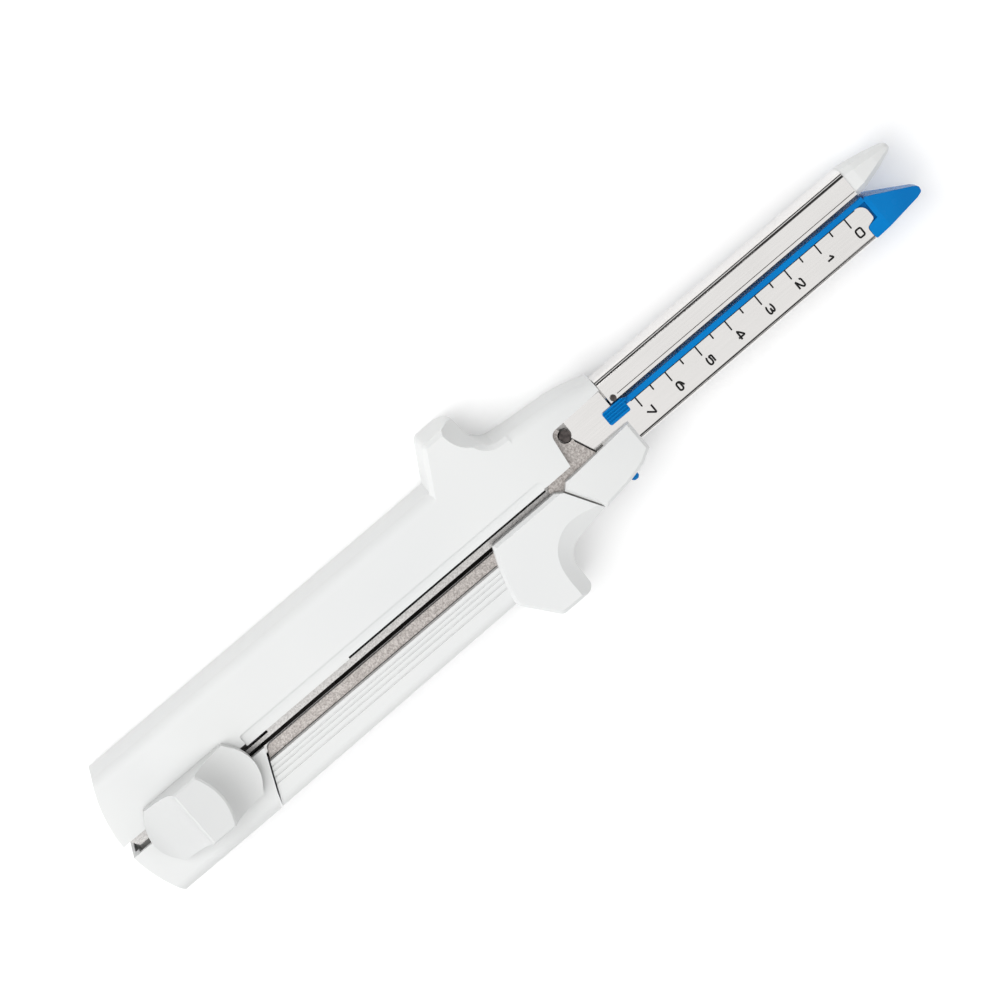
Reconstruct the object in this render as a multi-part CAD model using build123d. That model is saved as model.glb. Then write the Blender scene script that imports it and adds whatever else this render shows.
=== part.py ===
from build123d import *
import os

# A linear surgical stapler lying on its side, in millimetres. X runs along the instrument to the
# jaw tips, Y across it to the anvil half, Z up to the side that carries the firing knob. Shapes
# are drawn about the knife plane, Z = 0, and lifted at the end so the far side rests on Z = 0.

# Clearances
SEAM = 0.5              # visible gap between neighbouring mouldings
SLIDE_GAP = 0.3         # between faces that slide past each other
PIN_FIT = 0.04          # radial play of a pin in its hole
HOOK_GAP = 0.35         # between the latch pin and the lever hooks
BEYOND = 200.0          # reach of a cutter past the part

# Handle mouldings
REAR_X = -132.0         # rearmost point of the handle
REAR_R = 38.2           # radius of the rounded rear end
REAR_MID = -0.9         # Y of the rear end's centre
HANDLE_HALF = 12.0      # half thickness across the flat sides
NOSE_HALF = 8.2         # half thickness at the front of the handle
TAPER_X = 2.0           # where the handle starts to thin
COVER_X = 35.1          # front end of the upper shell
FRONT_X = 35.7          # front end of the front cover
UPPER_Y = 18.0          # upper edge of the handle
LOWER_Y = -19.5         # lower edge of the handle at the rear
LEVER_Y = -18.7         # lower edge of the handle at the flare
SLOT_TOP = -0.3         # upper side of the firing slot
REAR_TOP = -4.2         # top edge of the rear shell
PAD_TOP = -3.0          # top edge of the lever's flare pad
WALL = 2.0              # shell wall
RIM_R = 3.0             # rounding along the handle's outer edges
EDGE = 0.9              # edge break on flares, pad and covers
FLARE_Y = 28.4          # reach of both finger flares
FLARE_REAR = -8.6       # rear corner of a flare
FLARE_FRONT = 1.9       # front corner of a flare
SCOOP_Z = 2.0           # foot of the finger scoop in the upper flare
REBATE = 1.0            # depth of the band beside the slot
BAND_X = (-91.5, 8.2)   # length of that band
BAND_LIP = -1.2         # its lower edge, overhanging the slot
RIB_T = 2.0             # ribs inside the shells

# Jaws
JAW_HALF = 6.2          # half width of both jaws
SHEET = 1.2             # sheet steel of channel, jaw and lever
CHANNEL_FLOOR = -7.8    # underside of the cartridge channel
CHANNEL_LIP = 1.7       # top edge of the channel along the cartridge
CHANNEL_HANDLE = -4.85  # top edge of the channel inside the handle
CHANNEL_END = 117.2     # front end of the channel walls
EAR_TOP = 8.9           # top of the channel's ears
EAR_FRONT = 34.8        # front edge of the ears
JAW_END = 117.8         # front end of channel and anvil
TIP_X = 132.0           # end of the white anvil tip
DECK_Y = 3.2            # cartridge deck
ANVIL_FACE = 4.4        # forming face of the anvil
ANVIL_T = 1.9           # forming plate
FORM_DEPTH = 0.35       # staple-forming pockets
ANVIL_TOP = 11.65       # back of the anvil jaw
FRAME_HALF = 4.7        # half width of the anvil frame
FRAME_T = 1.0           # sheet of the anvil frame
SKIRT_X = (-112.0, 10.0)    # side strips of the anvil frame, seen in the firing slot
SKIRT_Y = (-3.85, 7.0)
SKIRT_WINDOW = ((-108.0, -85.5), (-2.8, 2.0))
BODY_HALF = 4.8         # cartridge body inside the channel
BODY_X = 31.7           # rear end of the cartridge

# Staple line
ROW_Z = (1.9, 3.5)      # inner and outer row, mirrored about the knife
STAPLES = 15            # staples in a row
PITCH = 5.0             # spacing along a row
ROW_X = 38.6            # first staple of the outer row
POCKET_WALL = 0.3       # deck left between two slots of a row
WIRE = 0.25             # staple wire
LEG = 2.6               # staple height
POCKET = 0.8            # width of a staple slot
POCKET_PLAY = 0.25      # slot beyond each end of a staple
CROWN_Y = 0.3           # staple crown, on top of its driver

# Pivots and pins
PIVOT = (20.4, -11.5)   # locking lever
PIVOT_R = 1.3
HINGE = (-122.5, -6.0)  # rear pin between the halves
HINGE_R = 1.4
LATCH = (21.0, 6.0)     # latch pin of the anvil half
LATCH_R = 1.6

# Locking lever
ARM_IN = JAW_HALF + 0.4     # inner face of the lever's side plates
ARM_OUT = ARM_IN + SHEET    # outer face
STRIP_TOP = -5.05           # top edge of the side plates
LEVER_FLOOR = -17.2         # underside of the lever's web
RIBBED_TOP = -8.2           # top edge of the ribbed grip
RIBBED_HALF = HANDLE_HALF - 1.2     # half thickness of the ribbed grip
SEAM_REAR = (-88.5, -5.0)   # rear seam, upper end
SEAM_LEAN = 0.455           # rearward lean of the rear seam
FRONT_SEAM = ((10.9, -3.0), (17.5, -14.6))
SEAM_CORNER = 1.4           # cut corner at the top of the front seam

# Firing slide
KNOB_X = -109.0         # middle of the knob
KNOB_Y = -4.2
KNOB_L = 33.0
KNOB_W = 16.6
KNOB_TOP = 25.6
KNOB_LIP = 16.4         # height of the knob's end lips
KNOB_GAP = 0.5          # over the flat side of the handle
RIDGE = 9.6             # length of the knob's ridge
KNOB_SWEEP = 16.5       # plan radius of the ridge's front edge
STEM_Y = (-2.7, -1.5)   # stem in the firing slot
TONGUE_Y = (-4.65, -4.1)    # its tongue between frame and channel
STEM_X = (-115.5, -93.4)
BLOCK_X = (-116.0, -64.5)
BLOCK_FLOOR = -6.3
BAR_Y = (-6.0, -2.3)
BAR_T = 0.7
BAR_TIP = 36.5          # wedge tips at rest
KNIFE_T = 0.6
KNIFE_X = 31.0          # cutting edge at rest
BAR_REAR = -74.0
FIRE_TRAVEL = 85.0


def outline(points, radii=0.0):
    """Closed outline with one corner radius, or one for each corner."""
    return make_face(FilletPolyline(*points, radius=radii, close=True))


def across(points, half, radii=0.0):
    """Side outline drawn in X, Y and carried to both sides of the knife plane."""
    return extrude(outline(points, radii), half, both=True)


def slab(points, low, high, radii=0.0):
    """Side outline carried from one height to another."""
    return Pos(0, 0, low) * extrude(outline(points, radii), high - low, dir=(0, 0, 1))


def block(x, y, z):
    """Box between pairs of limits."""
    size = [abs(b - a) for a, b in (x, y, z)]
    return Pos(sum(x) / 2, sum(y) / 2, sum(z) / 2) * Box(*size)


def pin(at, radius, low, high):
    """Round pin along Z."""
    return Pos(at[0], at[1], (low + high) / 2) * Cylinder(radius, high - low)


def twins(solid):
    """A solid and its mirror image across the knife plane."""
    return [solid, mirror(solid, Plane.XY)]


def seam_x(y):
    """Rear seam between rear shell and lever."""
    return SEAM_REAR[0] + (y - SEAM_REAR[1]) * SEAM_LEAN


def front_seam_x(y):
    """Front seam between lever pad and front cover."""
    (x0, y0), (x1, y1) = FRONT_SEAM
    return x0 + (y - y0) * (x1 - x0) / (y1 - y0)


def taper(inset):
    """Plan of the handle: full thickness, thinning in a smooth curve to the front."""
    half = HANDLE_HALF - inset
    nose = NOSE_HALF - inset
    left, right = REAR_X - 20, FRONT_X
    edges = [Line((left, half), (TAPER_X, half))]
    edges += [TangentArc((TAPER_X, half), (right, nose), tangent=(1, 0))]
    edges += [Line((right, nose), (right, -nose))]
    edges += [TangentArc((TAPER_X, -half), (right, -nose), tangent=(1, 0))]
    edges += [Line((TAPER_X, -half), (left, -half)), Line((left, -half), (left, half))]
    return extrude(Plane.XZ * make_face(edges), 2 * FLARE_Y, both=True)


def rear_end(inset):
    """Round rear end of the handle."""
    centre = REAR_X + REAR_R
    drum = Pos(centre, REAR_MID, 0) * Cylinder(REAR_R - inset, 4 * HANDLE_HALF)
    reach = 2 * abs(REAR_X)
    return drum + Pos(centre + reach / 2, REAR_MID, 0) * Box(reach, 2 * REAR_R, 4 * HANDLE_HALF)


def rim(solid, keep):
    """Edges along the flat sides that satisfy a test on their middle point."""
    found = []
    for edge in solid.edges():
        middle = edge @ 0.5
        smooth = abs(middle.X - TAPER_X) < 0.01 and abs(edge.tangent_at(0.5).Y) > 0.9
        if abs(middle.Z) > NOSE_HALF - 0.6 and not smooth and keep(middle):
            found.append(edge)
    return found


def scoop(near, foot, low):
    """Cutter for a finger scoop, from a curve over the flat side down to one along the front edge."""
    faces = []
    for points, z in ((near, HANDLE_HALF + 1), (foot, low)):
        back = Polyline(points[-1], (30, points[0][1]), points[0])
        faces.append(Pos(0, 0, z) * make_face([Spline(*points), back]))
    return loft(faces)


def upper_shell():
    top = [(REAR_X - 8, UPPER_Y), (-4, UPPER_Y), (7.5, 16.7), (26.5, 15.2), (COVER_X, 12.8)]
    foot = [(COVER_X, SLOT_TOP), (REAR_X - 8, SLOT_TOP)]
    shell = across(top + foot, HANDLE_HALF + 1, [0, 30, 30, 40, 0, 0, 0]) & taper(0)
    shell = fillet(rim(shell, lambda p: p.Y > SLOT_TOP + 0.1 and REAR_X - 7 < p.X < COVER_X - 0.1), RIM_R)
    shell = shell & rear_end(0)
    flare = [(-17.5, 13), (FLARE_REAR, FLARE_Y), (FLARE_FRONT, FLARE_Y), (2.4, 17.05)]
    flare += [(9.5, 16.45), (9.5, 13)]
    flare = across(flare, HANDLE_HALF, [0, 2, 2, 5.5, 0, 0]) & taper(0)
    flare = chamfer(rim(flare, lambda p: p.Y > 13.2 and p.X < 9.3), 1.4 * EDGE)
    near = [(-2.4, 30.5), (-2.7, 24.5), (-0.6, 21.2), (2.4, 19.4), (7, 17.9)]
    front = [(2.5, 30.5), (2.6, 22.5), (4.3, 18.9), (7, 17.3), (11, 16.9)]
    shell = shell + flare - twins(scoop(near, front, SCOOP_Z))
    inner = [(REAR_X - 8, UPPER_Y - WALL), (-4, UPPER_Y - WALL), (7.5, 14.7), (26.5, 13.2)]
    inner += [(COVER_X - WALL, 11.6), (COVER_X - WALL, SLOT_TOP - 1), (REAR_X - 8, SLOT_TOP - 1)]
    hollow = across(inner, HANDLE_HALF) & rear_end(WALL) & taper(WALL)
    ribs = [block((x, x + RIB_T), (SLOT_TOP + 1, UPPER_Y), (-20, 20)) for x in (-112, -66, -20)]
    hollow = hollow - ribs
    frame = FRAME_REAR + [(COVER_X + 1, FRAME_TOP), (COVER_X + 1, SLOT_TOP - 1), (-130.6, SLOT_TOP - 1)]
    frame = across(frame, FRAME_HALF) + block(SKIRT_X, (SLOT_TOP - 1, SKIRT_Y[1]), (-JAW_HALF, JAW_HALF))
    window = [(16.9, SLOT_TOP - 1), (18.4, 9.4), (COVER_X + 1, 9.4), (COVER_X + 1, SLOT_TOP - 1)]
    window = across(window, 2 * HANDLE_HALF, [0, 2, 0, 0])
    rear, end = BAND_X
    band = [(rear, SLOT_TOP - 1), (rear, 2.2), (end, 2.2), (end + 1.2, SLOT_TOP - 1)]
    band = slab(band, HANDLE_HALF - REBATE, HANDLE_HALF + 1, [0, 0.8, 1.2, 0])
    lip = block(BAND_X, (BAND_LIP, SLOT_TOP + 1), (HANDLE_HALF - WALL, HANDLE_HALF - REBATE))
    return shell - hollow - frame - window - twins(band) + twins(lip)


def rear_shell():
    front = [(seam_x(REAR_TOP) - SEAM / 2, REAR_TOP), (seam_x(LOWER_Y) - SEAM / 2, LOWER_Y)]
    shell = across(front + [(REAR_X - 8, LOWER_Y), (REAR_X - 8, REAR_TOP)], HANDLE_HALF, [0, 0, 0, 0])
    edges = rim(shell, lambda p: p.Y < REAR_TOP - 0.1 and REAR_X - 7 < p.X < seam_x(p.Y) - 0.8)
    shell = fillet(edges, RIM_R) & rear_end(0)
    inner = [(-86, REAR_TOP + 1), (-96, LOWER_Y + WALL), (REAR_X - 8, LOWER_Y + WALL)]
    inner += [(REAR_X - 8, REAR_TOP + 1)]
    hollow = across(inner, HANDLE_HALF - WALL) & rear_end(WALL)
    ribs = [block((x, x + RIB_T), (LOWER_Y, CHANNEL_FLOOR + 2), (-20, 20)) for x in (-115, -102)]
    hollow = hollow - ribs
    seat = block((REAR_X + 1, -80), (CHANNEL_FLOOR, REAR_TOP + 1), (-JAW_HALF, JAW_HALF))
    return shell - hollow - seat


def front_cover():
    high = FRONT_SEAM[1]
    corner_x = front_seam_x(PAD_TOP - SEAM_CORNER)
    back = [(corner_x + SEAM + SEAM_CORNER, PAD_TOP + 0.3), (corner_x + SEAM / 2, PAD_TOP - SEAM_CORNER)]
    back += [(high[0] + SEAM / 2, high[1])]
    foot = [(26.5, -13.6), (31.5, -12.6), (FRONT_X, -10.5), (FRONT_X, -2.0)]
    cover = across(back + foot, HANDLE_HALF + 1, [0, 0, 0, 12, 8, 0, 0]) & taper(0)
    cover = chamfer(rim(cover, lambda p: p.Y < PAD_TOP), EDGE)
    seat = block((0, 40), (CHANNEL_FLOOR, 0), (-JAW_HALF, JAW_HALF))
    neck = block((0, 27), (-20, 0), (-ARM_OUT - SLIDE_GAP, ARM_OUT + SLIDE_GAP))
    bore = pin(PIVOT, PIVOT_R + PIN_FIT, -PIN_REACH, PIN_REACH)
    stud = Pos(STUD_X, STUD_Y, 0) * Rot(90, 0, 0) * Cylinder(STUD_R + PIN_FIT, 12)
    return cover - seat - neck - bore - stud


def cartridge_channel():
    wall = [(-129, CHANNEL_FLOOR), (-129, -3.6), (-119.5, -3.6), (-117.5, CHANNEL_HANDLE)]
    wall += [(12.5, CHANNEL_HANDLE), (17.6, EAR_TOP), (EAR_FRONT, EAR_TOP), (EAR_FRONT, CHANNEL_LIP)]
    wall += [(CHANNEL_END, CHANNEL_LIP), (CHANNEL_END, -3.1), (NOTCH_X, -4.0), (NOTCH_X, CHANNEL_FLOOR)]
    channel = across(wall, JAW_HALF, [0, 0, 0, 0, 0, 2, 0, 0, 2.5, 0.8, 1, 0])
    folds = [e for e in channel.edges().filter_by(Axis.X) if abs((e @ 0.5).Y - CHANNEL_FLOOR) < 0.01]
    channel = fillet(folds, SHEET)
    inside = JAW_HALF - SHEET
    trough = block((-BEYOND, BEYOND), (CHANNEL_FLOOR + SHEET, BEYOND), (-inside, inside))
    tail = block((-BEYOND, -117), (-BEYOND, BEYOND), (-inside, inside))
    half = LATCH_R + SLIDE_GAP
    mouth = pin(LATCH, half, -BEYOND, BEYOND)
    mouth += block((LATCH[0] - half, LATCH[0] + half), (LATCH[1], BEYOND), (-BEYOND, BEYOND))
    hinge = pin(HINGE, HINGE_R + PIN_FIT, -BEYOND, BEYOND)
    return channel - trough - tail - mouth - hinge


def rows():
    """Middle of each staple, with the inner rows half a pitch ahead."""
    places = []
    for row, z in enumerate(ROW_Z):
        shift = PITCH / 2 if row == 0 else 0
        places += [(ROW_X + shift + n * PITCH, side * z) for n in range(STAPLES) for side in (-1, 1)]
    return places


def cartridge_body():
    body = block((BODY_X, JAW_END + 0.2), (CHANNEL_FLOOR + SHEET + 0.1, DECK_Y), (-BODY_HALF, BODY_HALF))
    body += block((EAR_FRONT + 0.3, JAW_END + 0.2), (CHANNEL_LIP, DECK_Y), (-JAW_HALF, JAW_HALF))
    nose = [(JAW_END + 0.1, DECK_Y), (130.4, -4.0), (131.5, -5.0), (131.2, -6.4), (129.5, -6.9)]
    nose += [(119, -7.5), (NOTCH_X + 0.1, -7.7), (NOTCH_X + 0.1, -3.9), (JAW_END + 0.1, -3.5)]
    nose = across(nose, JAW_HALF, [0.8, 1.2, 0.8, 0.6, 0.5, 0, 0.6, 1.2, 0])
    sides = [(100, JAW_HALF), (NOSE_X, JAW_HALF), (132, 2.4), (132, -2.4), (NOSE_X, -JAW_HALF)]
    plan = extrude(Plane.XZ * outline(sides + [(100, -JAW_HALF)], [0, 0, 1.5, 1.5, 0, 0]), 20, both=True)
    notch = block((100, JAW_END + 0.1), (-20, -3.4), (-BODY_HALF, BODY_HALF))
    body += (nose & plan) - notch
    grip = [(BODY_X, 0), (38.3, 0), (38.3, 2.6), (39.5, DECK_Y), (38.0, 4.0), (BODY_X, 4.0)]
    grip = slab(grip, JAW_HALF + 0.05, GRIP_HALF, [0.6, 0.5, 0.4, 0, 0.5, 0.6])
    grip += block((EAR_FRONT + 0.3, 38.0), (CHANNEL_LIP + 0.05, 4.0), (BODY_HALF - 1, GRIP_HALF - 0.3))
    ribs = [block((BODY_X - 1, 40), (y, y + 0.35), (GRIP_HALF - 0.3, 9)) for y in (0.8, 1.6, 2.4, 3.2)]
    body += twins(grip - ribs)
    knife = block((BODY_X - 1, KNIFE_X + FIRE_TRAVEL + 0.5), (-20, 20), (-0.45, 0.45))
    cuts = [knife]
    for z in ROW_Z:
        lane = ((BODY_X - 1, BAR_TIP + FIRE_TRAVEL + 1), (CHANNEL_FLOOR, BAR_Y[1] + 0.2))
        cuts += twins(block(*lane, (z - BAR_T / 2 - 0.15, z + BAR_T / 2 + 0.15)))
    for x, z in rows():
        lane = ((x - SLOT_L / 2, x + SLOT_L / 2), (BAR_Y[1], BEYOND))
        cuts.append(block(*lane, (z - POCKET / 2, z + POCKET / 2)))
    return body - cuts


def staples():
    half = CROWN / 2
    top = CROWN_Y + LEG
    wire = [(-half, CROWN_Y), (half, CROWN_Y), (half, top), (half - WIRE, top)]
    wire += [(half - WIRE, CROWN_Y + WIRE), (WIRE - half, CROWN_Y + WIRE), (WIRE - half, top), (-half, top)]
    staple = across(wire, WIRE / 2)
    return Compound([Pos(x, 0, z) * staple for x, z in rows()])


def staple_drivers():
    driver = block((-CROWN / 2, CROWN / 2), (BAR_Y[1] + 0.35, CROWN_Y), (-0.3, 0.3))
    return Compound([Pos(x, 0, z) * driver for x, z in rows()])


def lockout_spring():
    low = CHANNEL_FLOOR + SHEET
    strip = [(14, low), (25, low), (30.5, low + 0.7), (30.5, low + 1.0), (24.9, low + 0.3), (14, low + 0.3)]
    return across(strip, 1.1)


def hinge_bracket():
    top = CHANNEL_FLOOR
    side = [(15.5, top), (25.5, top), (25.5, top - 2), (PIVOT[0] + 2.6, PIVOT[1] - 2.6)]
    side += [(PIVOT[0] - 2.6, PIVOT[1] - 2.6), (15.5, top - 2)]
    bracket = across(side, JAW_HALF)
    bracket -= block((0, BEYOND), (-BEYOND, top - SHEET), (SHEET - JAW_HALF, JAW_HALF - SHEET))
    return bracket - pin(PIVOT, PIVOT_R + PIN_FIT, -BEYOND, BEYOND)


def blue_stud():
    shank = Pos(STUD_X, STUD_Y + 2.4, 0) * Rot(90, 0, 0) * Cylinder(STUD_R, 4.8)
    return chamfer(shank.edges().sort_by(Axis.Y)[0], 0.5)


def anvil_frame():
    side = FRAME_REAR + [(46, FRAME_TOP), (46, ANVIL_FACE + ANVIL_T), (29, ANVIL_FACE + ANVIL_T)]
    side += [(26.5, 3.4), (15, 3.4), (12, 0.6), (-116.5, 0.6), (-118.6, -4.0)]
    side += [(HINGE[0] + 3.2, HINGE[1] - 3.0), (HINGE[0] - 3.2, HINGE[1] - 3.0), (-130.6, -1.6)]
    frame = across(side, FRAME_HALF, [0, 0, 0, 0, 0, 0, 0, 0, 0, 0, 2.5, 2.5, 0])
    inside = FRAME_HALF - FRAME_T
    hollow = block((-BEYOND, BEYOND), (-BEYOND, FRAME_TOP - FRAME_T), (-inside, inside))
    frame = frame - hollow - pin(HINGE, HINGE_R + PIN_FIT, -BEYOND, BEYOND)
    skirt = block(SKIRT_X, SKIRT_Y, (FRAME_HALF, JAW_HALF))
    skirt -= block(SKIRT_X, (SKIRT_Y[0], SKIRT_RELIEF), (FRAME_HALF, JAW_HALF - SHEET))
    frame += twins(skirt - block(*SKIRT_WINDOW, (0, BEYOND)))
    return frame - pin(LATCH, LATCH_R + PIN_FIT, -BEYOND, BEYOND)


def anvil_jaw():
    low, high, half = ANVIL_FACE + ANVIL_T, ANVIL_TOP, JAW_HALF
    section = [(low, half), (high, half), (high, -half), (low, -half)]
    section = Plane.YZ * outline(section, [0, 2, 2, 0])
    jaw = Pos(COVER_X + 0.3, 0, 0) * extrude(section, JAW_END - COVER_X - 0.3, dir=(1, 0, 0))
    inside = half - SHEET
    return jaw - block((0, BEYOND), (0, FRAME_TOP), (-inside, inside))


def anvil_plate():
    plate = block((COVER_X + 0.3, JAW_END), (ANVIL_FACE, ANVIL_FACE + ANVIL_T), (-JAW_HALF, JAW_HALF))
    cuts = [block((0, KNIFE_X + FIRE_TRAVEL + 0.5), (0, 20), (-0.5, 0.5))]
    for x, z in rows():
        lane = ((x - SLOT_L / 2, x + SLOT_L / 2), (0, ANVIL_FACE + FORM_DEPTH))
        cuts.append(block(*lane, (z - POCKET / 2, z + POCKET / 2)))
    for side in twins(pin(SIDE_PIN, SIDE_PIN_R + PIN_FIT, BODY_HALF, 20)):
        cuts.append(side)
    return plate - cuts


def ring(x, low, high, half, corner):
    """Corners of the tip's cross-section at one place along X, a rectangle with cut corners."""
    y, z = low + corner, half - corner
    quarter = [(y, -half), (low, -z), (low, z), (y, half)]
    return [(x, a, b) for a, b in quarter] + [(x, low + high - a, b) for a, b in reversed(quarter)]


def hull(rings):
    """Flat-sided solid between cross-sections with matching corners."""
    faces = [make_face(Polyline(*end, close=True)) for end in (rings[0], rings[-1])]
    for near, far in zip(rings, rings[1:]):
        quads = [(near[k - 1], near[k], far[k], far[k - 1]) for k in range(len(near))]
        faces += [make_face(Polyline(*quad, close=True)) for quad in quads]
    return Solid(Shell([part.face() for part in faces]))


def anvil_tip():
    rings = [ring(JAW_END, 3.7, ANVIL_TOP, JAW_HALF - 0.2, 1.5)]
    rings += [ring(JAW_END + 3.2, 4.0, 11.4, JAW_HALF - 0.4, 1.5)]
    rings += [ring(JAW_END + 9.0, 5.5, 10.4, 4.4, 1.3)]
    rings += [ring(TIP_X - 0.9, 6.9, 9.4, 2.8, 0.8), ring(TIP_X, 7.5, 8.8, 2.0, 0.4)]
    spigot = block((111, JAW_END), (ANVIL_FACE + ANVIL_T + 0.1, FRAME_TOP), (-BODY_HALF, BODY_HALF))
    return hull(rings) + spigot


def side_pins():
    return Compound(twins(pin(SIDE_PIN, SIDE_PIN_R, BODY_HALF + 0.2, JAW_HALF + 0.6)))


def arm_side():
    """Side outline of one lever plate, from the rear strip to the hook."""
    rear = [(seam_x(STRIP_TOP) + SEAM, STRIP_TOP), (12.4, STRIP_TOP), (15.6, 3.5), (17.4, 8.4)]
    hook = [(20.4, 9.3), LATCH, (22.2, 3.7), (25.1, -3.3), (24.2, -11.0)]
    foot = [(PIVOT[0] + 2.6, PIVOT[1] - 2.4), (PIVOT[0] - 2.6, PIVOT[1] - 2.0), (1, -16.0)]
    return rear + hook + foot + [(-2, LEVER_FLOOR), (seam_x(LEVER_FLOOR) + SEAM, LEVER_FLOOR)]


def lever_channel():
    radii = [2, 0, 0, 2, 0, 0, 0, 0, 0, 2, 2, 0, 0, 0]
    plate = slab(arm_side(), ARM_IN, ARM_OUT, radii)
    plate -= pin(LATCH, LATCH_R + HOOK_GAP, 0, 20)
    plate -= pin(PIVOT, PIVOT_R + PIN_FIT, 0, 20)
    rear = seam_x(LEVER_FLOOR) + SEAM + 1.5
    web = block((rear, -2.5), (LEVER_FLOOR, LEVER_FLOOR + SHEET), (-ARM_IN, ARM_IN))
    return web + twins(plate)


def lever_grip():
    rear = (seam_x(RIBBED_TOP) + SEAM / 2, RIBBED_TOP)
    foot = (seam_x(LOWER_Y) + SEAM / 2, LOWER_Y + 0.05)
    ribbed = across([rear, (-8, RIBBED_TOP), (-8, LEVER_Y), foot], RIBBED_HALF)
    ribbed = fillet(rim(ribbed, lambda p: p.Y < -18 and p.X < -9), 2.4)
    for y in (-9.4, -10.6, -12.0, -13.6):
        ribbed -= twins(block((seam_x(y) - 2, 0), (y - 0.25, y + 0.25), (RIBBED_HALF - 0.45, 20)))
    high = FRONT_SEAM[1]
    corner_x = front_seam_x(PAD_TOP - SEAM_CORNER) - SEAM / 2
    pad = [(-11.2, PAD_TOP), (corner_x - 1.5 * SEAM_CORNER, PAD_TOP), (corner_x, PAD_TOP - SEAM_CORNER)]
    pad += [(high[0] - SEAM / 2, high[1] + 0.2)]
    pad += [(9.5, -15.8), (2.4, -16.9), (FLARE_FRONT, -FLARE_Y), (FLARE_REAR, -FLARE_Y)]
    pad += [(-16.2, LEVER_Y), (-15.6, -15.0), (-13.4, -8.0)]
    pad = across(pad, HANDLE_HALF + 1, [0, 0, 0, 0, 0, 5.5, 2, 2, 3, 6, 6]) & taper(0)
    pad = chamfer(rim(pad, lambda p: p.X < high[0] - 1.5 and not (p.Y > -14 and p.X > 9)), EDGE)
    near = [(-3.1, -30.5), (-3.0, -24), (-2.3, -17.2), (0.5, -12.4), (6.5, -9.2), (14, -10.2), (18, -11.5)]
    front = [(2.4, -30.5), (2.5, -24), (4.2, -19.3), (8, -17.2), (13, -16.2), (18, -15.8)]
    grip = ribbed + pad - twins(scoop(near, front, PAD_SCOOP))
    inner = [(REAR_X, 0), (40, 0), (40, -8), (PIVOT[0] - 2.6, PIVOT[1] - 2.0), (1, -16.0)]
    inner += [(-2, LEVER_FLOOR), (REAR_X, LEVER_FLOOR)]
    return grip - across(inner, ARM_OUT)


def firing_knob():
    x0, x1 = KNOB_X - KNOB_L / 2, KNOB_X + KNOB_L / 2
    r0, r1 = KNOB_X + 0.7 - RIDGE / 2, KNOB_X + 0.7 + RIDGE / 2
    low, lip, top = HANDLE_HALF + KNOB_GAP, KNOB_LIP, KNOB_TOP
    edges = [Line((x0, low), (x0, lip)), ThreePointArc((x0, lip), (r0 - 4.6, lip + 1.4), (r0, top))]
    edges += [Polyline((r0, top), (x1, top), (x1, low), (x0, low))]
    knob = Pos(0, KNOB_Y, 0) * extrude(Plane.XZ * make_face(edges), KNOB_W / 2, both=True)
    hollow = [ThreePointArc((r1, top), (r1 + 4.2, lip + 1.4), (x1, lip))]
    hollow += [Polyline((x1, lip), (x1 + 4, lip), (x1 + 4, top + 1), (r1, top + 1), (r1, top))]
    hollow = Pos(0, KNOB_Y, 0) * (Plane.XZ * make_face(hollow))
    knob -= revolve(hollow, Axis((r1 - KNOB_SWEEP, KNOB_Y, 0), (0, 0, 1)))
    y0, y1 = KNOB_Y - KNOB_W / 2, KNOB_Y + KNOB_W / 2
    ends = [Polyline((x0 + 1.6, y1 - 2.8), (x0 + 3.6, y1), (x1 - 3.6, y1), (x1 - 1.6, y1 - 2.8))]
    ends += [ThreePointArc((x1 - 1.6, y1 - 2.8), (x1, KNOB_Y), (x1 - 1.6, y0 + 2.8))]
    ends += [Polyline((x1 - 1.6, y0 + 2.8), (x1 - 3.6, y0), (x0 + 3.6, y0), (x0 + 1.6, y0 + 2.8))]
    ends += [ThreePointArc((x0 + 1.6, y0 + 2.8), (x0, KNOB_Y), (x0 + 1.6, y1 - 2.8))]
    knob = knob & Pos(0, 0, low) * extrude(make_face(ends), 30, dir=(0, 0, 1))
    knob = chamfer([e for e in knob.edges() if (e @ 0).Z > top - 0.1 and (e @ 1).Z > top - 0.1], 0.5)
    socket = block(TENON_X, STEM_Y, (0, STEM_TOP))
    across_pin = Pos(KNOB_X, KNOB_Y, KNOB_PIN_Z) * Rot(90, 0, 0) * Cylinder(KNOB_PIN_R, KNOB_PIN_L)
    return knob - socket - across_pin


def knob_pin():
    return Pos(KNOB_X, KNOB_Y, KNOB_PIN_Z) * Rot(90, 0, 0) * Cylinder(KNOB_PIN_R - PIN_FIT, KNOB_PIN_L)


def knob_stem():
    stem = block(STEM_X, STEM_Y, (STEP_Z[0], HANDLE_HALF + KNOB_GAP))
    stem += block(TENON_X, STEM_Y, (STEP_Z[0], STEM_TOP))
    stem += block(STEM_X, (TONGUE_Y[0], STEM_Y[1]), STEP_Z)
    stem += block(STEM_X, TONGUE_Y, (-3.5, STEP_Z[1]))
    stem += [block((x, x + LUG_L), (LUG_Y, TONGUE_Y[0]), (-LUG_HALF, LUG_HALF)) for x in LUG_X]
    return stem - Pos(KNOB_X, KNOB_Y, KNOB_PIN_Z) * Rot(90, 0, 0) * Cylinder(KNOB_PIN_R, KNOB_PIN_L)


def bar_slots(play):
    """Space for the four wedge bars and the knife in the slide block."""
    slots = [block((BAR_REAR - play, 0), (BAR_Y[0] - play, 20), (-KNIFE_T / 2 - play, KNIFE_T / 2 + play))]
    for z in ROW_Z:
        lane = (z - BAR_T / 2 - play, z + BAR_T / 2 + play)
        slots += twins(block((BAR_REAR - play, 0), (BAR_Y[0] - play, 20), lane))
    return slots


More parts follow.
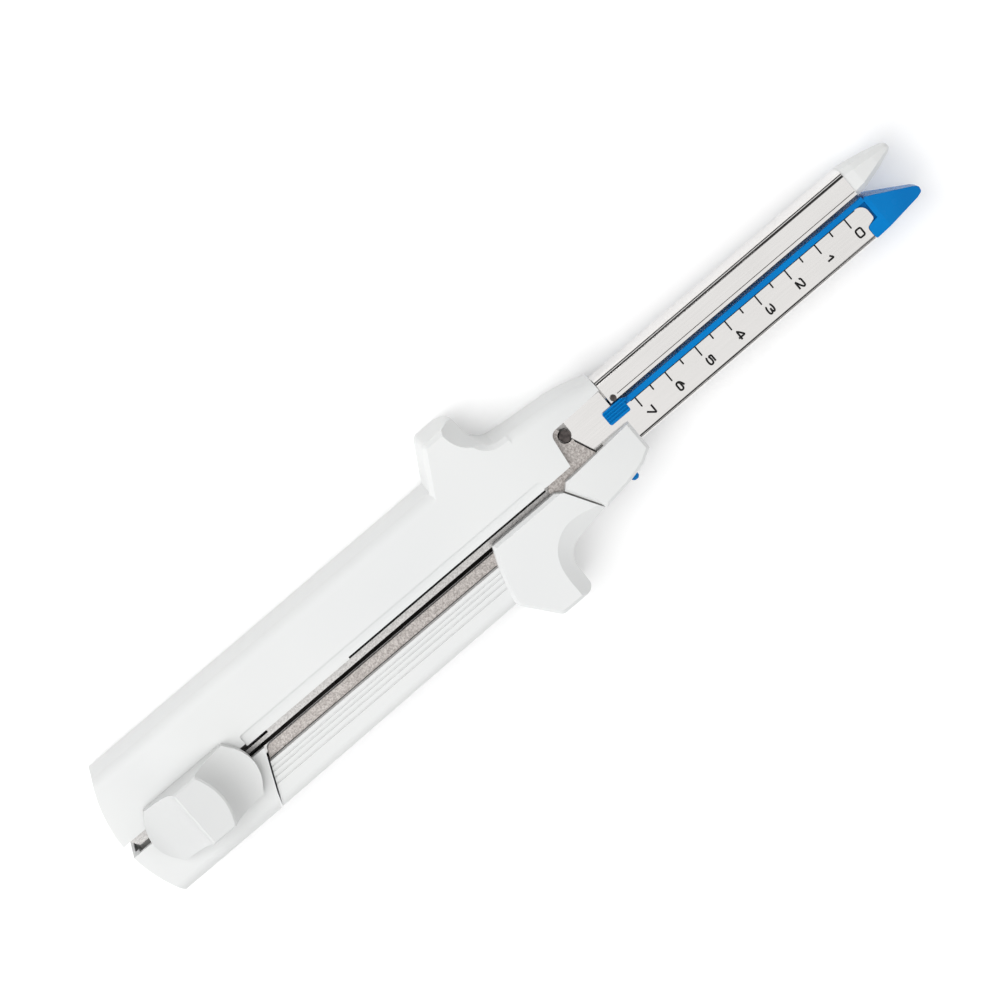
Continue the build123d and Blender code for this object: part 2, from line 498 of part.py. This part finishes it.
def slide_block():
    side = [(BLOCK_X[0], BLOCK_FLOOR), (BLOCK_X[1], BLOCK_FLOOR), (BLOCK_X[1], BAR_Y[1]), (-88, BAR_Y[1])]
    side += [(-88, TONGUE_Y[0]), (BLOCK_X[0], TONGUE_Y[0])]
    solid = across(side, JAW_HALF - SHEET - SLIDE_GAP, [0.5, 0.5, 0, 0, 0, 0.5])
    solid -= [block((x, x + LUG_L), (LUG_Y, TONGUE_Y[0]), (-LUG_HALF, LUG_HALF)) for x in LUG_X]
    return solid - bar_slots(0.05) - bar_key()


def wedge_bar(z):
    low, top = BAR_Y
    side = [(BAR_REAR, low), (BAR_TIP, low), (BAR_TIP, low + 0.5), (BAR_TIP - 5, top), (BAR_REAR, top)]
    return slab(side, z - BAR_T / 2, z + BAR_T / 2) - bar_key()


def wedge_bars(z):
    return Compound(twins(wedge_bar(z)))


def knife():
    low, top = BAR_Y[0] + 0.6, BAR_Y[1] - 0.2
    side = [(BAR_REAR, low), (KNIFE_X - 1, low), (KNIFE_X, 1.0), (KNIFE_X - 3.6, 6.0), (KNIFE_X - 5, 6.0)]
    side += [(KNIFE_X - 9, top), (BAR_REAR, top)]
    blade = across(side, KNIFE_T / 2, [0, 1, 0, 0, 0.5, 3, 0])
    front = [e for e in blade.edges() if (e @ 0.5).X > KNIFE_X - 3 and 1 < (e @ 0.5).Y < 6]
    front = [e for e in front if abs((e @ 0.5).Z) > 0.1 and abs((e @ 0.5).Y - 3.5) < 0.2]
    blade = chamfer(front, KNIFE_T / 2 - 0.03)
    return blade - bar_key()


def bar_key():
    """Square key across the slide block that holds the bars and the knife."""
    half = JAW_HALF - SHEET - SLIDE_GAP
    return block(KEY_X, KEY_Y, (-half, half))


# Sizes that follow from the ones above
FRAME_TOP = ANVIL_TOP - SHEET
SLOT_L = PITCH - POCKET_WALL
CROWN = SLOT_L - 2 * POCKET_PLAY
NOTCH_X = JAW_END - 3.5
NOSE_X = JAW_END + 1.5
GRIP_HALF = JAW_HALF + 0.75
PIN_REACH = ARM_OUT + 1.4
STUD_X, STUD_Y, STUD_R = 28.2, -15.9, 1.15
SIDE_PIN, SIDE_PIN_R = (36.7, 5.2), 0.85
PAD_SCOOP = ARM_OUT + 0.6
STEM_TOP = HANDLE_HALF + 7
TENON_X = (KNOB_X - 3.6, KNOB_X + 5.0)
SKIRT_RELIEF = 0.9
FRAME_REAR = [(-130.6, SLOT_TOP - 0.2), (-127.5, FRAME_TOP)]
KNOB_PIN_Z, KNOB_PIN_R, KNOB_PIN_L = 15.2, 1.0, 10.0
LUG_X, LUG_Y, LUG_L, LUG_HALF = (-112.0, -100.0), TONGUE_Y[0] - 1.2, 4.0, 2.5
STEP_Z = (JAW_HALF + SLIDE_GAP, ARM_OUT - 0.2)
KEY_X, KEY_Y = (-71.0, -68.0), (-5.2, -3.4)

nodes = {
    "cartridge_channel": cartridge_channel(),
    "cartridge_body": cartridge_body(),
    "staples": staples(),
    "staple_drivers": staple_drivers(),
    "lockout_spring": lockout_spring(),
    "hinge_bracket": hinge_bracket(),
    "lever_pivot_pin": pin(PIVOT, PIVOT_R, 0.2 - PIN_REACH, PIN_REACH - 0.2),
    "rear_hinge_pin": pin(HINGE, HINGE_R, -JAW_HALF, JAW_HALF),
    "rear_shell": rear_shell(),
    "front_cover": front_cover(),
    "blue_stud": blue_stud(),
    "anvil_jaw": anvil_jaw(),
    "anvil_plate": anvil_plate(),
    "anvil_tip": anvil_tip(),
    "anvil_frame": anvil_frame(),
    "upper_shell": upper_shell(),
    "latch_pin": pin(LATCH, LATCH_R, -ARM_OUT - 0.5, ARM_OUT + 0.5),
    "side_pins": side_pins(),
    "lever_channel": lever_channel(),
    "lever_grip": lever_grip(),
    "firing_knob": firing_knob(),
    "knob_stem": knob_stem(),
    "knob_pin": knob_pin(),
    "slide_block": slide_block(),
    "inner_wedge_bars": wedge_bars(ROW_Z[0]),
    "outer_wedge_bars": wedge_bars(ROW_Z[1]),
    "knife": knife(),
    "bar_key": bar_key(),
}

os.makedirs("parts", exist_ok=True)
for name, solid in nodes.items():
    export_step(Pos(0, 0, HANDLE_HALF) * solid, f"parts/{name}.step")
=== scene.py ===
import math

import bmesh
import bpy
from mathutils import Matrix, Vector


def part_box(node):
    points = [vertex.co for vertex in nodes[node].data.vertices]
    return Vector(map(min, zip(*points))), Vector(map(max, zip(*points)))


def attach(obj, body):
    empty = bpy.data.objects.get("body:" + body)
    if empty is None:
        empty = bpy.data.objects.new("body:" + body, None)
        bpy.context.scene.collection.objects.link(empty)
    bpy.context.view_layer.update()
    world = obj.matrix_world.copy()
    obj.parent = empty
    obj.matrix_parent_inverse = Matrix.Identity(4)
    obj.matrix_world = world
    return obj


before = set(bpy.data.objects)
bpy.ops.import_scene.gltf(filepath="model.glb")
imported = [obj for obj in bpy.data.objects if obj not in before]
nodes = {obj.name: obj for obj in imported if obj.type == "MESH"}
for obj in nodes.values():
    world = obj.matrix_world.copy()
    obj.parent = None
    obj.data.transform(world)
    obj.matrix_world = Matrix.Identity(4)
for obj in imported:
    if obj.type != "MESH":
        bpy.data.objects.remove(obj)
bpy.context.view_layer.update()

MM = 0.001
scene = bpy.context.scene

# The photograph's framing: a long lens ten degrees off vertical on the anvil side, rolled so that
# the instrument runs to the upper right.
VIEW_LEAN = math.radians(10.0)
VIEW_ROLL = math.radians(40.4)
VIEW_CENTRE = Vector((-2.1, 2.94, 12.0)) * MM
VIEW_WIDTH = 255.9 * MM
LENS = 200.0
SENSOR = 36.0

# Floor: metres from its middle to a side, its glow and the limits of its tone
FLOOR_REACH = 3.0
FLOOR_GLOW = 0.1
FLOOR_TONES = (0.93, 0.95)

# Pale room: (height, brightness) from the horizon to straight up, its fall towards the jaw tips, and
# the least height used to measure the cards' lean
ROOM = [(0.0, 0.35), (0.2, 0.7), (0.4, 1.0), (1.0, 1.0)]
ROOM_FALL = 0.35
HORIZON = 0.01

# Two dark cards on each side of the instrument, from straight up (0) to the horizon (1): where each
# fades in and out. Along X they fade out between the two ends.
HIGH_CARD = (0.14, 0.24, 0.6, 0.64)
LOW_CARD = (0.73, 0.76, 0.93, 0.96)
CARD_FADES = (0, 1, 1, 0)
CARD_ENDS = (0.3, 0.45)
CARD_DEPTH = 0.97

# Area lights aimed at the origin: place, width, height and power
SOFTBOXES = {
    "key": ((-0.6, 0.35, 1.4), 1.4, 1.0, 12.0),
    "fill": ((0.8, -0.7, 1.2), 1.0, 1.0, 2.0),
}

# Sockets of a mix node set to colours: factor, two colours and mixed colour
MIX_FACTOR, MIX_FIRST, MIX_SECOND, MIX_RESULT = 0, 6, 7, 2

# Limits that nearly all noise lies between
NOISE_LOW = 0.3
NOISE_HIGH = 0.7

# Scale printed on the near wall of the cartridge channel, in millimetres
SCALE_FIRST = 41.0
SCALE_STEP = 10.0
SCALE_COUNT = 8
TICK_TOP = 1.5
TICK_LONG = 2.95
TICK_SHORT = 1.55
TICK_WIDE = 0.42
TICK_FACETS = 6
DIGIT_Y = -3.7
DIGIT_LEAD = 1.0
DIGIT_WIDE = 2.25
DIGIT_HIGH = 1.75
STROKE = 0.52
INK = 0.02

# Gusset in the corner of each lever plate, seen between the lever's pad and the front cover, in
# millimetres
GUSSET = [(8.6, -5.05), (12.4, -5.05), (14.4, 0.3), (10.5, 0.0), (8.6, -2.2)]
GUSSET_Z = [(4.2, 5.4), (18.6, 19.8)]

# Heights of the outer faces that carry the painted shadow lines, in millimetres
JAW_FACES = (5.8, 18.2)
LIP_FACES = (1.0, 23.0)
LEVER_FACES = (4.2, 19.8)


def bar(left, right, low, high):
    """Outline of a straight line along X."""
    return [(left, low), (right, low), (right, high), (left, high)]


# Painted shadow: thin dark lines put along seams and edges where the gaps lie in shade, on both sides:
# body, heights of the two faces and outline
SEAM_SHADOW_LINES = {
    "cartridge_seam_shadow": ("cartridge_half", JAW_FACES, bar(39.6, 114.5, 1.5, 1.7)),
    "anvil_seam_shadow": ("anvil_half", JAW_FACES, bar(38.2, 117.6, 5.3, 5.5)),
    "slot_seam_shadow": ("anvil_half", LIP_FACES, bar(-57.3, 8.2, -1.2, -0.65)),
    "grip_seam_shadow": ("locking_lever", LEVER_FACES, bar(-89.2, -13.6, -8.2, -8.02)),
    "hook_seam_shadow": ("locking_lever", LEVER_FACES,
                  [(22.2, 3.7), (21.9, 3.55), (24.75, -3.35), (25.1, -3.3)]),
}

# Strokes of the numerals in a unit square. A path marked True bends smoothly between its points.
BOX = [(0.5, 0), (1, 0), (1, 0.5), (1, 1), (0.5, 1), (0, 1), (0, 0.5), (0, 0), (0.5, 0)]
NUMERALS = {
    "0": [(True, BOX)],
    "1": [(False, [(0.22, 0.62), (0.66, 1.05), (0.66, -0.05)])],
    "2": [(True, [(0, 0.7), (0, 1), (0.5, 1), (1, 1), (1, 0.55), (0, 0)]),
          (False, [(0, 0), (1, 0)])],
    "3": [(True, [(0, 0.8), (0.1, 1), (0.95, 1), (0.95, 0.55), (0.4, 0.55)]),
          (True, [(0.4, 0.55), (1, 0.55), (1, 0), (0.1, 0), (0, 0.2)])],
    "4": [(False, [(0.75, -0.08), (0.75, 1.08), (-0.08, 0.28), (1.08, 0.28)])],
    "5": [(False, [(0.95, 1), (0.1, 1), (0.05, 0.5)]),
          (True, [(0.05, 0.5), (0.3, 0.65), (1, 0.65), (1, 0), (0.1, 0), (0, 0.2)])],
    "6": [(True, [(0.7, 1), (0, 0.75), (0, 0), (0.5, 0), (1, 0), (1, 0.62), (0.5, 0.62),
                  (0.1, 0.6), (0.05, 0.35)])],
    "7": [(False, [(-0.05, 1.05), (1.05, 1.05), (0.3, -0.08)])],
}


def colour(red, green, blue):
    """Linear colour from display values out of 255."""
    linear = []
    for value in (red, green, blue):
        value = value / 255
        linear.append(value / 12.92 if value <= 0.04045 else ((value + 0.055) / 1.055) ** 2.4)
    return (*linear, 1.0)


def grey(value):
    return (value, value, value, 1)


def ramp_node(tree, source, stops):
    """Colours along a value, from (place, colour) stops."""
    node = tree.nodes.new("ShaderNodeValToRGB")
    elements = node.color_ramp.elements
    while len(elements) < len(stops):
        elements.new(0.5)
    for element, (place, value) in zip(elements, stops):
        element.position = place
        element.color = value
    tree.links.new(source, node.inputs["Fac"])
    return node.outputs["Color"]


class Shader:
    """A node material with short calls for the nodes it needs."""

    def __init__(self, name):
        self.material = bpy.data.materials.new(name)
        self.material.use_nodes = True
        self.tree = self.material.node_tree
        self.surface = self.tree.nodes["Principled BSDF"]
        self.place = self.tree.nodes.new("ShaderNodeTexCoord").outputs["Object"]

    def link(self, source, target):
        self.tree.links.new(source, target)

    def put(self, **values):
        for key, value in values.items():
            self.surface.inputs[key.replace("_", " ")].default_value = value

    def stretched(self, x, y, z):
        """Object coordinates scaled along each axis, for grain with a direction."""
        node = self.tree.nodes.new("ShaderNodeMapping")
        node.inputs["Scale"].default_value = (x, y, z)
        self.link(self.place, node.inputs["Vector"])
        return node.outputs["Vector"]

    def noise(self, scale, detail, rough=0.5, at=None):
        node = self.tree.nodes.new("ShaderNodeTexNoise")
        node.inputs["Scale"].default_value = scale
        node.inputs["Detail"].default_value = detail
        node.inputs["Roughness"].default_value = rough
        self.link(at or self.place, node.inputs["Vector"])
        return node.outputs["Fac"]

    def ramp(self, source, *stops):
        return ramp_node(self.tree, source, stops)

    def span(self, source, low, high):
        """Noise spread between two values."""
        node = self.tree.nodes.new("ShaderNodeMapRange")
        node.inputs["From Min"].default_value = NOISE_LOW
        node.inputs["From Max"].default_value = NOISE_HIGH
        node.inputs["To Min"].default_value = low
        node.inputs["To Max"].default_value = high
        self.link(source, node.inputs["Value"])
        return node.outputs["Result"]

    def paint_shade_on_sides(self, base, edge):
        """Painted shade: faces that stand across Z, the sheet's sheared edges and folded webs, take a
        darker colour.
        """
        facing = self.tree.nodes.new("ShaderNodeTexCoord").outputs["Normal"]
        axes = self.tree.nodes.new("ShaderNodeSeparateXYZ")
        self.link(facing, axes.inputs["Vector"])
        upright = self.tree.nodes.new("ShaderNodeMath")
        upright.operation = "ABSOLUTE"
        self.link(axes.outputs["Z"], upright.inputs[0])
        mix = self.tree.nodes.new("ShaderNodeMix")
        mix.data_type = "RGBA"
        self.link(upright.outputs["Value"], mix.inputs[MIX_FACTOR])
        mix.inputs[MIX_FIRST].default_value = edge
        self.link(base, mix.inputs[MIX_SECOND])
        return mix.outputs[MIX_RESULT]

    def bump(self, source, depth, strength, under=None):
        node = self.tree.nodes.new("ShaderNodeBump")
        node.inputs["Strength"].default_value = strength
        node.inputs["Distance"].default_value = depth
        self.link(source, node.inputs["Height"])
        if under is not None:
            self.link(under, node.inputs["Normal"])
        return node.outputs["Normal"]

    def soft_edges(self, radius):
        """Normals rounded over sharp edges, as moulding leaves them."""
        node = self.tree.nodes.new("ShaderNodeBevel")
        node.samples = 6
        node.inputs["Radius"].default_value = radius
        return node.outputs["Normal"]

    def finish(self, base, rough=None, normal=None):
        for source, socket in ((base, "Base Color"), (rough, "Roughness"), (normal, "Normal")):
            if source is not None:
                self.link(source, self.surface.inputs[socket])
        return self.material


def moulded_plastic(name, low, high):
    """Satin moulded plastic: a slight drift of tone and gloss, and gentle moulding waves."""
    s = Shader(name)
    s.put(IOR=1.49, Specular_IOR_Level=0.25)
    drift = s.noise(scale=28, detail=1)
    wave = s.noise(scale=70, detail=1)
    base = s.ramp(drift, (0.25, low), (0.75, high))
    normal = s.bump(wave, depth=0.02 * MM, strength=0.25)
    return s.finish(base, s.span(drift, 0.36, 0.44), normal)


def white_plastic():
    return moulded_plastic("white_plastic", colour(222, 223, 223), colour(227, 228, 227))


def knob_plastic():
    return moulded_plastic("knob_plastic", colour(211, 212, 212), colour(216, 217, 216))


def blue_plastic():
    """Glossier dyed plastic with softened edges."""
    s = Shader("blue_plastic")
    s.put(IOR=1.49, Specular_IOR_Level=0.08)
    drift = s.noise(scale=70, detail=2)
    wave = s.noise(scale=240, detail=2)
    base = s.ramp(drift, (0.3, colour(0, 112, 184)), (0.7, colour(0, 122, 195)))
    normal = s.bump(wave, depth=0.015 * MM, strength=0.3, under=s.soft_edges(0.3 * MM))
    return s.finish(base, s.span(wave, 0.2, 0.3), normal)


def polished_steel():
    """Drawn and polished sheet: faint lines along the instrument and soft smudges."""
    s = Shader("polished_steel")
    s.put(Metallic=1.0)
    lines = s.noise(scale=1.0, detail=3, rough=0.6, at=s.stretched(50, 2200, 2200))
    smudge = s.noise(scale=60, detail=3)
    base = s.ramp(lines, (0.2, colour(227, 225, 223)), (0.8, colour(234, 232, 230)))
    normal = s.bump(lines, depth=0.0008 * MM, strength=0.2)
    return s.finish(base, s.span(smudge, 0.08, 0.15), normal)


def grained_steel(name, dull, middle, pale):
    """Tumbled sheet: speckled grain with a dull sheen, and painted shade on its sideways faces."""
    s = Shader(name)
    s.put(Metallic=1.0)
    grain = s.noise(scale=2400, detail=2, rough=0.7)
    base = s.ramp(grain, (0.36, dull), (0.5, middle), (0.64, pale))
    # Painted shade: the faces that stand across Z take this dark colour.
    base = s.paint_shade_on_sides(base, colour(26, 24, 23))
    normal = s.bump(grain, depth=0.02 * MM, strength=0.4)
    return s.finish(base, s.span(grain, 0.34, 0.48), normal)


def matte_steel():
    tones = colour(152, 146, 142), colour(180, 174, 170), colour(204, 199, 195)
    return grained_steel("matte_steel", *tones)


def pale_steel():
    tones = colour(182, 179, 177), colour(200, 198, 196), colour(216, 214, 212)
    return grained_steel("pale_steel", *tones)


def dark_steel():
    """Turned pins whose dark colour is a painted dark reflection; the anvil's crease line takes it as
    painted shade.
    """
    s = Shader("dark_steel")
    s.put(Metallic=1.0)
    turned = s.noise(scale=1.0, detail=3, at=s.stretched(900, 900, 3000))
    # Dark tones: painted reflection on the pins, painted shade on the anvil's crease line.
    base = s.ramp(turned, (0.3, colour(62, 58, 57)), (0.7, colour(96, 90, 88)))
    normal = s.bump(turned, depth=0.005 * MM, strength=0.4)
    return s.finish(base, s.span(turned, 0.3, 0.45), normal)


def painted_shadow_steel():
    """Steel of the slide in a near black colour as painted shadow, for the shade inside the firing
    slot.
    """
    s = Shader("painted_shadow_steel")
    s.put(Metallic=1.0)
    mottle = s.noise(scale=500, detail=3)
    # Painted shadow: near black tones that stand in for the slot's shade.
    base = s.ramp(mottle, (0.3, colour(16, 15, 15)), (0.7, colour(34, 32, 31)))
    normal = s.bump(mottle, depth=0.004 * MM, strength=0.3)
    return s.finish(base, s.span(mottle, 0.4, 0.55), normal)


def staple_wire():
    s = Shader("staple_wire")
    s.put(Metallic=1.0)
    drawn = s.noise(scale=900, detail=3)
    base = s.ramp(drawn, (0.3, colour(196, 193, 190)), (0.7, colour(222, 220, 216)))
    normal = s.bump(drawn, depth=0.003 * MM, strength=0.3)
    return s.finish(base, s.span(drawn, 0.22, 0.36), normal)


def driver_plastic():
    s = Shader("driver_plastic")
    cloud = s.noise(scale=300, detail=3)
    grain = s.noise(scale=1500, detail=2)
    base = s.ramp(cloud, (0.3, colour(205, 206, 200)), (0.7, colour(220, 220, 214)))
    normal = s.bump(grain, depth=0.01 * MM, strength=0.4)
    return s.finish(base, s.span(cloud, 0.4, 0.55), normal)


def print_and_shade_ink():
    """Dark laser marking, slightly broken up by the sheet's grain; the seam lines take it as painted
    shadow.
    """
    s = Shader("print_and_shade_ink")
    s.put(Specular_IOR_Level=0.2)
    speck = s.noise(scale=5200, detail=3)
    base = s.ramp(speck, (0.3, colour(8, 8, 9)), (0.75, colour(24, 23, 23)))
    normal = s.bump(speck, depth=0.004 * MM, strength=0.4)
    return s.finish(base, s.span(speck, 0.55, 0.7), normal)


FINISHES = {
    white_plastic: ["rear_shell", "front_cover", "anvil_tip", "upper_shell", "lever_grip"],
    knob_plastic: ["firing_knob"],
    blue_plastic: ["cartridge_body", "blue_stud"],
    polished_steel: ["cartridge_channel", "lockout_spring", "anvil_jaw", "anvil_plate",
                     "lever_pivot_pin", "rear_hinge_pin", "knob_pin", "knife"],
    matte_steel: ["lever_channel", "hinge_bracket", "knob_stem"],
    pale_steel: ["anvil_frame"],
    dark_steel: ["latch_pin", "side_pins"],
    painted_shadow_steel: ["slide_block", "bar_key", "inner_wedge_bars", "outer_wedge_bars"],
    staple_wire: ["staples"],
    driver_plastic: ["staple_drivers"],
}
materials = {}
for make, names in FINISHES.items():
    materials[make] = make()
    for name in names:
        mesh = nodes[name].data
        mesh.materials.clear()
        mesh.materials.append(materials[make])
# One dark material for the printed scale and for the painted shadow lines along the seams.
ink = print_and_shade_ink()


def raise_outline(made, rim, low, high):
    """Closed prism over an outline in millimetres, between two heights in metres."""
    face = made.faces.new([made.verts.new((a * MM, b * MM, low)) for a, b in rim])
    grown = bmesh.ops.extrude_face_region(made, geom=[face])
    raised = [v for v in grown["geom"] if isinstance(v, bmesh.types.BMVert)]
    bmesh.ops.translate(made, verts=raised, vec=(0, 0, high - low))


def closed_mesh(made, name):
    bmesh.ops.recalc_face_normals(made, faces=made.faces)
    mesh = bpy.data.meshes.new(name)
    made.to_mesh(mesh)
    made.free()
    return mesh


def gusset_mesh(name):
    made = bmesh.new()
    for low, high in GUSSET_Z:
        raise_outline(made, GUSSET, low * MM, high * MM)
    return closed_mesh(made, name)


def seam_shadow_mesh(name, faces, rim):
    """A thin raised line of painted shadow on a lower and an upper face."""
    low, high = faces
    made = bmesh.new()
    raise_outline(made, rim, (low - INK) * MM, low * MM)
    raise_outline(made, rim, high * MM, (high + INK) * MM)
    return closed_mesh(made, name)


def tick_mesh(name, ticks, top):
    """Thin raised bars for (x, length) pairs, with rounded lower ends."""
    made = bmesh.new()
    half = TICK_WIDE / 2
    for x, length in ticks:
        foot = TICK_TOP - length + half
        rim = [(x - half, TICK_TOP), (x - half, foot)]
        for step in range(1, TICK_FACETS):
            turn = math.pi * step / TICK_FACETS
            rim.append((x - half * math.cos(turn), foot - half * math.sin(turn)))
        rim += [(x + half, foot), (x + half, TICK_TOP)]
        raise_outline(made, rim, top, top + INK * MM)
    return closed_mesh(made, name)


def digit_mesh(text, x, top):
    """One numeral of round strokes, flattened to ink, that reads with the jaw tips upward."""
    lines = bpy.data.curves.new("numeral", "CURVE")
    lines.dimensions = "3D"
    lines.bevel_depth = STROKE / 2
    lines.bevel_resolution = 2
    lines.resolution_u = 6
    lines.use_fill_caps = True
    for smooth, path in NUMERALS[text]:
        line = lines.splines.new("NURBS")
        line.points.add(len(path) - 1)
        for point, (across, up) in zip(line.points, path):
            point.co = ((across - 0.5) * DIGIT_WIDE, (up - 0.5) * DIGIT_HIGH, 0, 1)
        line.order_u = 3 if smooth else 2
        line.use_endpoint_u = True
    carrier = bpy.data.objects.new("numeral", lines)
    scene.collection.objects.link(carrier)
    bpy.context.view_layer.update()
    drawn = carrier.evaluated_get(bpy.context.evaluated_depsgraph_get())
    mesh = bpy.data.meshes.new_from_object(drawn)
    bpy.data.objects.remove(carrier)
    place = Matrix.Translation((x * MM, DIGIT_Y * MM, top + INK * MM / 2))
    place = place @ Matrix.Rotation(-math.pi / 2, 4, "Z")
    mesh.transform(place @ Matrix.Diagonal((MM, MM, MM * INK / STROKE, 1)))
    return mesh


def add_piece(name, mesh, material, body):
    piece = bpy.data.objects.new(name, mesh)
    scene.collection.objects.link(piece)
    mesh.materials.clear()
    mesh.materials.append(material)
    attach(piece, body)


gussets = gusset_mesh("lever_gussets")
add_piece("lever_gussets", gussets, materials[matte_steel], "locking_lever")

# The anvil's crease line of painted shade is paler than the other lines
for name, (body, faces, rim) in SEAM_SHADOW_LINES.items():
    material = materials[dark_steel] if name == "anvil_seam_shadow" else ink
    add_piece(name, seam_shadow_mesh(name, faces, rim), material, body)

# Scale: a long tick at each number and a short one between, counted down from the handle
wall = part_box("cartridge_channel")[1].z
ticks = []
for index in range(SCALE_COUNT):
    x = SCALE_FIRST + SCALE_STEP * index
    ticks.append((x, TICK_LONG))
    if index < SCALE_COUNT - 1:
        ticks.append((x + SCALE_STEP / 2, TICK_SHORT))
marks = tick_mesh("scale_ticks", ticks, wall)
add_piece("scale_ticks", marks, ink, "cartridge_half")
for index in range(SCALE_COUNT):
    label = str(SCALE_COUNT - 1 - index)
    digit = digit_mesh(label, SCALE_FIRST + SCALE_STEP * index + DIGIT_LEAD, wall)
    add_piece(f"scale_numeral_{label}", digit, ink, "cartridge_half")

# Camera
back = Vector((0, math.sin(VIEW_LEAN), math.cos(VIEW_LEAN)))
along = Vector((1, 0, 0))
beside = back.cross(along)
right = math.cos(VIEW_ROLL) * along - math.sin(VIEW_ROLL) * beside
upward = math.sin(VIEW_ROLL) * along + math.cos(VIEW_ROLL) * beside
lens = bpy.data.cameras.new("camera")
lens.lens = LENS
lens.sensor_width = SENSOR
lens.clip_start = 0.01
lens.clip_end = 20
camera = bpy.data.objects.new("camera", lens)
scene.collection.objects.link(camera)
distance = VIEW_WIDTH * LENS / SENSOR
turn = Matrix((right, upward, back)).transposed().to_4x4()
camera.matrix_world = Matrix.Translation(VIEW_CENTRE + back * distance) @ turn
scene.camera = camera

# Floor of white paper
sheet = bpy.data.meshes.new("floor")
sides = bar(-FLOOR_REACH, FLOOR_REACH, -FLOOR_REACH, FLOOR_REACH)
sheet.from_pydata([(x, y, 0) for x, y in sides], [], [(0, 1, 2, 3)])
floor = bpy.data.objects.new("floor", sheet)
scene.collection.objects.link(floor)
paper = Shader("paper")
paper.put(Roughness=0.9, Specular_IOR_Level=0.1)
paper.put(Emission_Color=grey(1), Emission_Strength=FLOOR_GLOW)
dim, bright = FLOOR_TONES
tone = paper.ramp(paper.noise(scale=3, detail=2), (0.3, grey(dim)), (0.7, grey(bright)))
sheet.materials.append(paper.finish(tone))

# Light: a pale room, greyer at the horizon, with dark cards hung along both sides of the instrument
# so that the rounded steel edges show dark lines
world = bpy.data.worlds.new("studio")
scene.world = world
world.use_nodes = True
sky = world.node_tree
outward = sky.nodes.new("ShaderNodeTexCoord")
split = sky.nodes.new("ShaderNodeSeparateXYZ")
sky.links.new(outward.outputs["Generated"], split.inputs["Vector"])
sky_x, sky_y, sky_z = (split.outputs[axis] for axis in "XYZ")


def sky_math(operation, first, second=None):
    node = sky.nodes.new("ShaderNodeMath")
    node.operation = operation
    for socket, value in zip(node.inputs, (first, second)):
        if isinstance(value, float):
            socket.default_value = value
        elif value is not None:
            sky.links.new(value, socket)
    return node.outputs["Value"]


def sky_ramp(source, stops):
    return ramp_node(sky, source, [(place, grey(value)) for place, value in stops])


above = sky_math("MAXIMUM", sky_z, HORIZON)
lean = sky_math("ARCTAN2", sky_math("ABSOLUTE", sky_y), above)
lean = sky_math("DIVIDE", lean, math.pi / 2)
card = sky_ramp(lean, list(zip(HIGH_CARD + LOW_CARD, CARD_FADES * 2)))
ends = sky_ramp(sky_math("ABSOLUTE", sky_x), list(zip(CARD_ENDS, (1, 0))))
dark = sky_math("MULTIPLY", sky_math("MULTIPLY", card, ends), CARD_DEPTH)
shade = sky_math("SUBTRACT", 1.0, dark)
room = sky_ramp(sky_z, ROOM)
aside = sky_math("SUBTRACT", 1.0, sky_math("MULTIPLY", sky_x, ROOM_FALL))
glow = sky_math("MULTIPLY", sky_math("MULTIPLY", room, aside), shade)
sky.links.new(glow, sky.nodes["Background"].inputs["Color"])
sky.nodes["Background"].inputs["Strength"].default_value = 1.0

for name, (spot, width, height, power) in SOFTBOXES.items():
    light = bpy.data.lights.new(name, "AREA")
    light.shape = "RECTANGLE"
    light.size = width
    light.size_y = height
    light.energy = power
    softbox = bpy.data.objects.new(name, light)
    scene.collection.objects.link(softbox)
    softbox.location = spot
    softbox.rotation_mode = "QUATERNION"
    softbox.rotation_quaternion = (-Vector(spot)).to_track_quat("-Z", "Y")

scene.view_settings.view_transform = "Standard"
